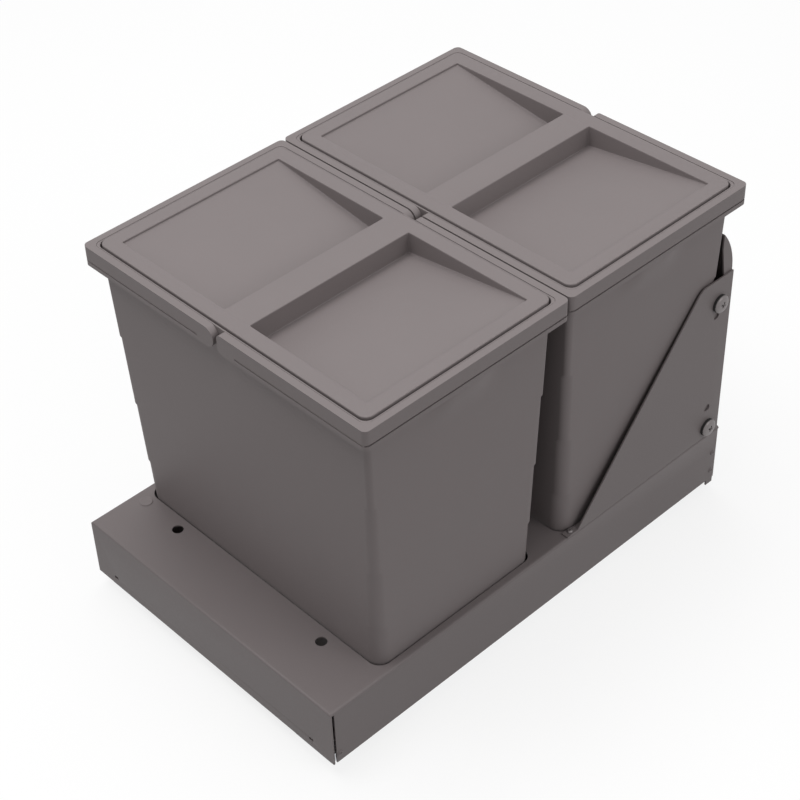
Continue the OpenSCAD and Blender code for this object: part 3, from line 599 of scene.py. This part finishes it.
def cross_screw(sizes, head_r, head_h, shank_r, shank_l):
    """A pan-head screw along Z with a cross recess, its head standing on z = 0."""
    bm = bmesh.new()
    shank = ((shank_r, 0.0), (shank_r, shank_r * sizes.point_l - shank_l),
             (shank_r * sizes.point_r, -shank_l), (0.0, -shank_l))
    turned(bm, scaled(SCREW_HEAD, head_r, head_h) + shank, sizes.screw_cuts)
    slot = bmesh.new()
    for turn in (0.0, math.pi / 2):
        cut = bmesh.ops.create_cube(slot, size=1.0)["verts"]
        size = (head_r * sizes.cross_l, head_r * sizes.cross_w, head_h * sizes.cross_h)
        bmesh.ops.scale(slot, vec=size, verts=cut)
        for v in cut:
            if v.co.z < 0.0:
                v.co.x *= sizes.cross_end_l
                v.co.y *= sizes.cross_end_w
        bmesh.ops.rotate(slot, cent=(0, 0, 0), matrix=Matrix.Rotation(turn, 3, "Z"), verts=cut)
        bmesh.ops.translate(slot, vec=(0.0, 0.0, head_h), verts=cut)
    return cut_away(bm, slot)


def bin_ring(half_w, half_d, radius, z, sizes):
    """The outline of a rounded rectangle, with extra points along its two short sides."""
    bm = bmesh.new()
    corners = bmesh.ops.create_grid(bm, x_segments=1, y_segments=1, size=1.0)["verts"]
    bmesh.ops.scale(bm, vec=(half_w, half_d, 1.0), verts=corners)
    bmesh.ops.translate(bm, vec=(0.0, 0.0, z), verts=corners)
    bmesh.ops.bevel(bm, geom=corners, offset=radius, offset_type="OFFSET", segments=sizes.corner_cuts,
                    profile=0.5, affect="VERTICES", material=-1)
    bmesh.ops.delete(bm, geom=bm.faces[:], context="FACES_ONLY")
    sides = [e for e in bm.edges
             if all(near(abs(v.co.x), half_w) for v in e.verts) and e.calc_length() > half_d]
    bmesh.ops.subdivide_edges(bm, edges=sides, cuts=sizes.side_cuts)
    outline = bpy.data.meshes.new("outline")
    bm.to_mesh(outline)
    bm.free()
    return outline


def bin_rings(sizes, low):
    """The rings up the outside and down the inside of a bin: half width, half depth, radius and height."""
    steps = (sizes.first_step, sizes.second_step, sizes.third_step)
    top = len(steps)

    def wall(z, stage, inset=0.0):
        """A ring of the tapered wall, with the corner radius of one stage between the steps."""
        grown = sizes.taper * (z - DECK_Z) - inset
        radius = sizes.corner + (top - stage) * sizes.corner_step - inset / 2
        return (sizes.half_w + grown, sizes.half_d + grown, max(sizes.corner_least, radius), z)

    def lip(z, inset, radius):
        """A ring of the upright lip."""
        return (sizes.lip_half_w - inset, sizes.lip_half_d - inset, radius, z)

    bulge_top = BAIL_LOW - sizes.bulge_gap
    ledge = BAIL_LOW + sizes.ledge_up
    lip_top = RIM_Z - sizes.lip_drop
    lip_shoulder = lip_top - sizes.lip_edge
    seat = RIM_Z - sizes.seat_down
    floor_z = low + sizes.floor
    outside = [wall(low + rise, 0, inset) for rise, inset in OUTER_FOOT]
    for stage, rise in enumerate(steps):
        outside.append(wall(DECK_Z + rise, stage))
        outside.append(wall(DECK_Z + rise + sizes.step_rise, stage + 1))
    for k in range(sizes.bulge_cuts):
        outside.append(wall(bulge_top - sizes.bulge_h * (1 - k / sizes.bulge_cuts), top))
    outside += [wall(bulge_top - sizes.bulge_edge, top), wall(bulge_top, top), wall(ledge, top),
                lip(ledge + sizes.ledge_rise, 0.0, sizes.lip_r), lip(lip_shoulder, 0.0, sizes.lip_r),
                lip(lip_top, sizes.lip_edge, sizes.lip_r)]
    inside = [lip(lip_top, sizes.lip - sizes.lip_edge, sizes.lip_inner_r),
              lip(lip_shoulder, sizes.lip, sizes.lip_inner_r), lip(seat, sizes.lip, sizes.lip_inner_r),
              wall(seat - sizes.seat_rise, top, sizes.wall),
              wall(DECK_Z + sizes.third_step, top - 1, sizes.wall)]
    inside += [wall(floor_z + rise, 0, sizes.wall + inset) for rise, inset in INNER_FOOT]
    return outside, inside


def push_bulge(skin, sizes):
    """Push the outer wall out below the grips."""
    bulge_low = BAIL_LOW - sizes.bulge_gap - sizes.bulge_h
    for v in skin:
        up = (v.co.z - bulge_low) / sizes.bulge_h
        along = abs(v.co.y) / sizes.bulge_half
        wall_w = sizes.half_w + sizes.taper * (v.co.z - DECK_Z)
        if 0.0 < up < sizes.bulge_end and along < 1.0 and near(abs(v.co.x), wall_w):
            grow = up * up * (3.0 - 2.0 * up)
            reach = min(1.0, sizes.bulge_spread * (1.0 + math.cos(math.pi * along)))
            v.co.x += math.copysign(sizes.bulge * grow * reach, v.co.x)


def bin_body(sizes, low):
    """A bin about the Z axis, bridged from ring to ring."""
    outside, inside = bin_rings(sizes, low)
    bm = bmesh.new()
    spans = []
    for ring in outside + inside:
        outline = bin_ring(*ring, sizes)
        spans.append((len(bm.edges), len(bm.edges) + len(outline.edges)))
        bm.from_mesh(outline)
        bpy.data.meshes.remove(outline)
    bm.edges.ensure_lookup_table()
    push_bulge({v for e in bm.edges[:spans[len(outside)][0]] for v in e.verts}, sizes)
    for (a, b), (c, d) in zip(spans, spans[1:]):
        bm.edges.ensure_lookup_table()
        bmesh.ops.bridge_loops(bm, edges=bm.edges[a:b] + bm.edges[c:d])
    for a, b in (spans[0], spans[-1]):
        bm.edges.ensure_lookup_table()
        bmesh.ops.contextual_create(bm, geom=bm.edges[a:b])
    bmesh.ops.recalc_face_normals(bm, faces=bm.faces)
    return bm


def bail_studs(bm, sizes, bail_half_d):
    """Add the four studs that the bails swing on."""
    pivots = [j["pos_m"] for j in frame["joints"] if j["name"].startswith("rear_") and "bail" in j["name"]]
    depth = min(sizes.stud_l, bail_half_d - sizes.lip_half_d)
    for pivot in pivots:
        for side in (-1, 1):
            middle = side * (sizes.lip_half_d - sizes.stud_root + sizes.stud_l / 2)
            turn = Matrix.Translation((pivot[0], middle, pivot[2])) @ Matrix.Rotation(math.pi / 2, 4, "X")
            bmesh.ops.create_cone(bm, cap_ends=True, segments=sizes.stud_cuts, radius1=sizes.stud,
                                  radius2=sizes.stud, depth=depth, matrix=turn)


class BINFRAME_OT_bins(bpy.types.Operator):
    """Build the two tapered bins with their corner steps, grip bulges and bail studs"""

    bl_idname = "binframe.bins"
    bl_label = "Bins"

    def execute(self, context):
        sizes = context.scene.bin_frame.bin
        for end in ("rear", "front"):
            lo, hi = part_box(end + "_bin")
            bail_lo, bail_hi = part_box(end + "_left_bail")
            bm = bin_body(sizes, lo.z)
            bail_studs(bm, sizes, (bail_hi.y - bail_lo.y) / 2)
            bmesh.ops.translate(bm, vec=(0.0, (lo.y + hi.y) / 2, 0.0), verts=bm.verts)
            piece = show(bm, end + "_bin_shell", [end + "_bin"], "moulded_plastic", smooth_angle=38.0)
            weigh = piece.modifiers.new("even_faces", "WEIGHTED_NORMAL")
            weigh.keep_sharp = True
        return {"FINISHED"}


class BINFRAME_OT_lids(bpy.types.Operator):
    """Build the lids with their sloping hand recesses"""

    bl_idname = "binframe.lids"
    bl_label = "Lids"

    def execute(self, context):
        for end in ("rear", "front"):
            piece = show(merged_copy(end + "_lid"), end + "_lid_cap", [end + "_lid"], "moulded_plastic")
            ease(piece, context.scene.bin_frame.edge.lid, segments=3)
        return {"FINISHED"}


def groove_blocks(lo, hi, edge):
    """Three blocks that cut the groove round the outside of a bail."""
    low = lo.z + edge.groove_up
    high = low + edge.groove
    half_w = max(abs(lo.x), abs(hi.x))
    half_d = (hi.y - lo.y) / 2
    past_w = half_w + edge.groove
    past_d = half_d + edge.groove
    bm = bmesh.new()
    for x0, x1, y0, y1 in ((half_w - edge.groove_side, past_w, -past_d, past_d),
                           (edge.groove_start, past_w, half_d - edge.groove_end, past_d),
                           (edge.groove_start, past_w, -past_d, edge.groove_end - half_d)):
        block = bmesh.ops.create_cube(bm, size=1.0)["verts"]
        bmesh.ops.scale(bm, vec=(x1 - x0, y1 - y0, high - low), verts=block)
        bmesh.ops.translate(bm, vec=((x0 + x1) / 2, (y0 + y1) / 2, (low + high) / 2), verts=block)
    if lo.x + hi.x < 0.0:
        bmesh.ops.rotate(bm, cent=(0, 0, 0), matrix=Matrix.Rotation(math.pi, 3, "Z"), verts=bm.verts)
    bmesh.ops.translate(bm, vec=(0.0, (lo.y + hi.y) / 2, 0.0), verts=bm.verts)
    return bm


def mark_rounded(bm, lo, hi, edge):
    """Mark a bail's edges for rounding, apart from its groove and the edge that lies along the lip."""
    bmesh.ops.dissolve_limit(bm, angle_limit=FLAT_ANGLE, verts=bm.verts, edges=bm.edges)
    low = lo.z + edge.groove_up - SLACK
    high = lo.z + edge.groove_up + edge.groove + SLACK
    inner_w = max(abs(lo.x), abs(hi.x)) - edge.grip_in
    inner_d = (hi.y - lo.y) / 2 - edge.grip_in
    middle = (lo.y + hi.y) / 2
    marks = bm.edges.layers.float.new("bevel_weight_edge")

    def in_groove(co):
        return low < co.z < high

    def by_lip(co):
        at_top = co.z > hi.z - SLACK
        return at_top and edge.grip_from < abs(co.x) < inner_w and abs(co.y - middle) < inner_d

    for e in bm.edges:
        plain = all(in_groove(v.co) for v in e.verts) or all(by_lip(v.co) for v in e.verts)
        e[marks] = 0.0 if plain or e.calc_face_angle(0.0) < SHARP_ANGLE else 1.0


class BINFRAME_OT_bails(bpy.types.Operator):
    """Build the four bail handles, each with a groove above its lower edge"""

    bl_idname = "binframe.bails"
    bl_label = "Bails"

    def execute(self, context):
        edge = context.scene.bin_frame.edge
        for node in ("rear_left_bail", "rear_right_bail", "front_left_bail", "front_right_bail"):
            lo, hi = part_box(node)
            bm = bmesh.new()
            bm.from_mesh(cut_away(merged_copy(node), groove_blocks(lo, hi, edge)))
            mark_rounded(bm, lo, hi, edge)
            piece = show(bm, node + "_hoop", [node], "moulded_plastic")
            ease(piece, edge.bail, segments=3).limit_method = "WEIGHT"
        return {"FINISHED"}


class BINFRAME_OT_tray(bpy.types.Operator):
    """Build the folded tray pan"""

    bl_idname = "binframe.tray"
    bl_label = "Tray pan"

    def execute(self, context):
        edge = context.scene.bin_frame.edge
        piece = show(merged_copy("tray_pan"), "tray_pan_sheet", ["tray_pan"], "powder_coat")
        ease(piece, edge.sheet, angle=60.0)
        return {"FINISHED"}


class BINFRAME_OT_sheet_parts(bpy.types.Operator):
    """Build the brackets, panel carrier, bearers, cross member and floor straps"""

    bl_idname = "binframe.sheet_parts"
    bl_label = "Sheet parts"

    def execute(self, context):
        edge = context.scene.bin_frame.edge
        for node in ("left_bracket", "right_bracket"):
            bm = merged_copy(node)
            fold_edges(bm, lambda p: near(p.z, DECK_Z) and near(abs(p.x), TRAY_HALF_W), edge.fold)
            ease(show(bm, node + "_sheet", [node], "powder_coat"), edge.sheet)
        for node in ("panel_carrier", "left_bearer", "right_bearer", "front_cross_member",
                     "front_floor_strap", "rear_floor_strap"):
            ease(show(merged_copy(node), node + "_sheet", [node], "powder_coat"), edge.sheet)
        # The washers are black nylon; their black rims beside the heads also stand in for the painted shadow that
        # the heads cast
        for node in ("upper_clamp_washers", "lower_clamp_washers"):
            ease(show(merged_copy(node), node + "_set", [node], "black_nylon_and_shade"), edge.sheet)
        return {"FINISHED"}


class BINFRAME_OT_fixings(bpy.types.Operator):
    """Build the screws, nuts, rivets and the blank plug"""

    bl_idname = "binframe.fixings"
    bl_label = "Fixings"

    def execute(self, context):
        sizes = context.scene.bin_frame.fixing
        for node in ("upper_clamp_screws", "lower_clamp_screws"):
            self.clamp_screws(node, sizes)
        self.foot_screws(sizes)
        nuts = show(merged_copy("clamp_nuts"), "clamp_nuts_set", ["clamp_nuts"], "grey_plate")
        ease(nuts, context.scene.bin_frame.edge.nut)
        self.rivets(sizes)
        self.plug(sizes)
        return {"FINISHED"}

    def clamp_screws(self, node, sizes):
        """The screws that hold the panel carrier, one on each side."""
        seat = abs(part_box(node.replace("screws", "washers"))[0].x)
        places = []
        for lo, hi in solids_of(node):
            side = -1.0 if lo.x < 0.0 else 1.0
            middle = (lo + hi) / 2
            place = Matrix.Translation((side * seat, middle.y, middle.z))
            facing = Matrix.Rotation(side * math.pi / 2, 4, "Y")
            places.append(place @ facing @ Matrix.Rotation(side * sizes.clamp_turn, 4, "Z"))
            head_r = (hi.y - lo.y) / 2
            head_h = max(abs(lo.x), abs(hi.x)) - seat
            shank_l = seat - min(abs(lo.x), abs(hi.x))
        screw = cross_screw(sizes, head_r, head_h, sizes.clamp_shank, shank_l)
        show(spread(screw, places), node + "_set", [node], "grey_plate")

    def foot_screws(self, sizes):
        """The small screws in the brackets' foot tabs."""
        places = []
        for lo, hi in solids_of("foot_screws"):
            middle = (lo + hi) / 2
            place = Matrix.Translation((middle.x, middle.y, hi.z - sizes.foot_head))
            places.append(place @ Matrix.Rotation(sizes.foot_turn, 4, "Z"))
            head_r = (hi.x - lo.x) / 2
            shank_l = hi.z - lo.z - sizes.foot_head
        screw = cross_screw(sizes, head_r, sizes.foot_head, sizes.foot_shank, shank_l)
        show(spread(screw, places), "foot_screws_set", ["foot_screws"], "grey_plate")

    def rivets(self, sizes):
        """Closed-end rivets with a dished middle on the skirts."""
        places = []
        for lo, hi in solids_of("tray_rivets"):
            side = -1.0 if lo.x < 0.0 else 1.0
            middle = (lo + hi) / 2
            place = Matrix.Translation((side * TRAY_HALF_W, middle.y, middle.z))
            places.append(place @ Matrix.Rotation(side * math.pi / 2, 4, "Y"))
            head_r = (hi.y - lo.y) / 2
            stem_l = hi.x - lo.x - sizes.rivet_head
        bm = bmesh.new()
        stem = ((sizes.rivet_stem, 0.0), (sizes.rivet_stem, -stem_l), (0.0, -stem_l))
        turned(bm, scaled(RIVET_HEAD, head_r, sizes.rivet_head) + stem, sizes.rivet_cuts)
        mesh = bpy.data.meshes.new("rivet")
        bm.to_mesh(mesh)
        bm.free()
        show(spread(mesh, places), "tray_rivets_set", ["tray_rivets"], "powder_coat")

    def plug(self, sizes):
        """A plain push-in plug with a slightly dished face."""
        lo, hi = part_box("blank_plug")
        middle = (lo + hi) / 2
        head_r = (hi.x - lo.x) / 2
        stem_r = head_r - sizes.plug_ledge
        stem_end = lo.z - DECK_Z
        bm = bmesh.new()
        stem = ((stem_r, 0.0), (stem_r, stem_end), (0.0, stem_end))
        turned(bm, scaled(PLUG_HEAD, head_r, sizes.plug_head) + stem, sizes.plug_cuts)
        bmesh.ops.translate(bm, vec=(middle.x, middle.y, DECK_Z), verts=bm.verts)
        show(bm, "blank_plug_cap", ["blank_plug"], "moulded_plastic")


class BINFRAME_OT_slides(bpy.types.Operator):
    """Build the ball slides, their rivets, screws and rubber buffers"""

    bl_idname = "binframe.slides"
    bl_label = "Slides"

    def execute(self, context):
        edge = context.scene.bin_frame.edge
        for side in ("left", "right"):
            for part in ("fixed_rail", "middle_rail", "tray_rail", "outer_cages", "inner_cages"):
                node = side + "_" + part
                ease(show(merged_copy(node), node + "_steel", [node], "bright_plate"), edge.rail)
        for node in ("outer_balls", "inner_balls"):
            show(merged_copy(node), node + "_set", [node], "bright_plate", smooth_angle=60.0)
        for node in ("rail_rivets", "rail_screws"):
            ease(show(merged_copy(node), node + "_set", [node], "bright_plate"), edge.sheet)
        buffers = show(merged_copy("rail_buffers"), "rail_buffers_set", ["rail_buffers"], "buffer_rubber")
        ease(buffers, edge.buffer, segments=3)
        return {"FINISHED"}


class BINFRAME_OT_stage(bpy.types.Operator):
    """Make the floor, lamps, world and camera"""

    bl_idname = "binframe.stage"
    bl_label = "Stage"

    def execute(self, context):
        look = context.scene.bin_frame.stage
        context.scene.view_settings.view_transform = "Standard"
        self.floor(context, look)
        self.sky(context, look)
        self.lamp(context, "key_lamp", look.key_place, look.high_size, look.key_power)
        self.lamp(context, "rear_lamp", look.rear_place, look.high_size, look.rear_power)
        self.lamp(context, "side_lamp", look.side_place, look.side_size, look.side_power)
        self.camera(context, look)
        return {"FINISHED"}

    def floor(self, context, look):
        """A floor that looks white and keeps the shadow, and is darker where it lights the pieces."""
        bm = bmesh.new()
        bmesh.ops.create_grid(bm, x_segments=1, y_segments=1, size=look.floor_half)
        bmesh.ops.translate(bm, vec=(0.0, 0.0, -look.floor_drop), verts=bm.verts)
        mesh = bpy.data.meshes.new("floor")
        bm.to_mesh(mesh)
        bm.free()
        floor = bpy.data.objects.new("floor", mesh)
        context.scene.collection.objects.link(floor)
        material = bpy.data.materials.new("pale_floor")
        tree = ShaderTree(material)
        plain = tree.matt(look.floor_colour)
        shaded = tree.matt(look.floor_shade)
        glow = tree.node("ShaderNodeEmission", None, {"Strength": look.floor_glow}).out("Emission")
        white = tree.node("ShaderNodeAddShader", None, {0: shaded, 1: glow}).out("Shader")
        mixed = tree.node("ShaderNodeMixShader", None, {0: tree.seen(), 1: plain, 2: white}).out("Shader")
        tree.node("ShaderNodeOutputMaterial", None, {"Surface": mixed})
        mesh.materials.append(material)

    def sky(self, context, look):
        """Even light from all round, which looks white."""
        world = bpy.data.worlds.new("studio")
        context.scene.world = world
        tree = ShaderTree(world)
        light = tree.backdrop(look.sky)
        white = tree.backdrop(1.0)
        mixed = tree.node("ShaderNodeMixShader", None, {0: tree.seen(), 1: light, 2: white}).out("Shader")
        tree.node("ShaderNodeOutputWorld", None, {"Surface": mixed})

    def lamp(self, context, name, place, size, watts):
        """A square lamp that faces the bins."""
        data = bpy.data.lights.new(name, "AREA")
        data.size = size
        data.energy = watts
        lamp = bpy.data.objects.new(name, data)
        lamp.location = place
        ahead = Vector(context.scene.bin_frame.stage.aim) - Vector(place)
        lamp.rotation_euler = ahead.to_track_quat("-Z", "Y").to_euler()
        context.scene.collection.objects.link(lamp)

    def camera(self, context, look):
        """The camera that matches the picture's view."""
        turn, tilt, roll = (math.radians(v) for v in (look.azimuth, look.elevation, look.roll))
        back = Vector((math.sin(turn) * math.cos(tilt), -math.cos(turn) * math.cos(tilt), math.sin(tilt)))
        right = Vector((math.cos(turn), math.sin(turn), 0.0))
        up = back.cross(right)
        across = right * math.cos(roll) + up * math.sin(roll)
        upward = up * math.cos(roll) - right * math.sin(roll)
        data = bpy.data.cameras.new("camera")
        data.lens = look.lens
        data.sensor_width = look.sensor
        data.shift_x = look.shift
        data.clip_end = look.reach
        camera = bpy.data.objects.new("camera", data)
        axes = Matrix((across, upward, back)).transposed().to_4x4()
        camera.matrix_world = Matrix.Translation(look.place) @ axes
        context.scene.collection.objects.link(camera)
        context.scene.camera = camera


OPERATORS = (BINFRAME_OT_bins, BINFRAME_OT_lids, BINFRAME_OT_bails, BINFRAME_OT_tray,
             BINFRAME_OT_sheet_parts, BINFRAME_OT_fixings, BINFRAME_OT_slides, BINFRAME_OT_stage)


class BINFRAME_PT_panel(bpy.types.Panel):
    """Lists the pieces that can be built"""

    bl_idname = "BINFRAME_PT_panel"
    bl_label = "Bin frame"
    bl_space_type = "VIEW_3D"
    bl_region_type = "UI"
    bl_category = "Bin frame"

    def draw(self, context):
        for operator in OPERATORS:
            self.layout.operator(operator.bl_idname)


CLASSES = (PlasticLook, PaintLook, PlateLook, BinSizes, EdgeSizes, FixingSizes, StageLook, BinFrameLook,
           *OPERATORS, BINFRAME_PT_panel)


def register():
    """Add the settings, operators and panel to Blender."""
    for cls in CLASSES:
        bpy.utils.register_class(cls)
    bpy.types.Scene.bin_frame = PointerProperty(type=BinFrameLook)


def unregister():
    """Take the settings, operators and panel out of Blender."""
    del bpy.types.Scene.bin_frame
    for cls in reversed(CLASSES):
        bpy.utils.unregister_class(cls)


def main():
    register()
    bpy.ops.binframe.bins()
    bpy.ops.binframe.lids()
    bpy.ops.binframe.bails()
    bpy.ops.binframe.tray()
    bpy.ops.binframe.sheet_parts()
    bpy.ops.binframe.fixings()
    bpy.ops.binframe.slides()
    bpy.ops.binframe.stage()


if __name__ == "__main__":
    main()
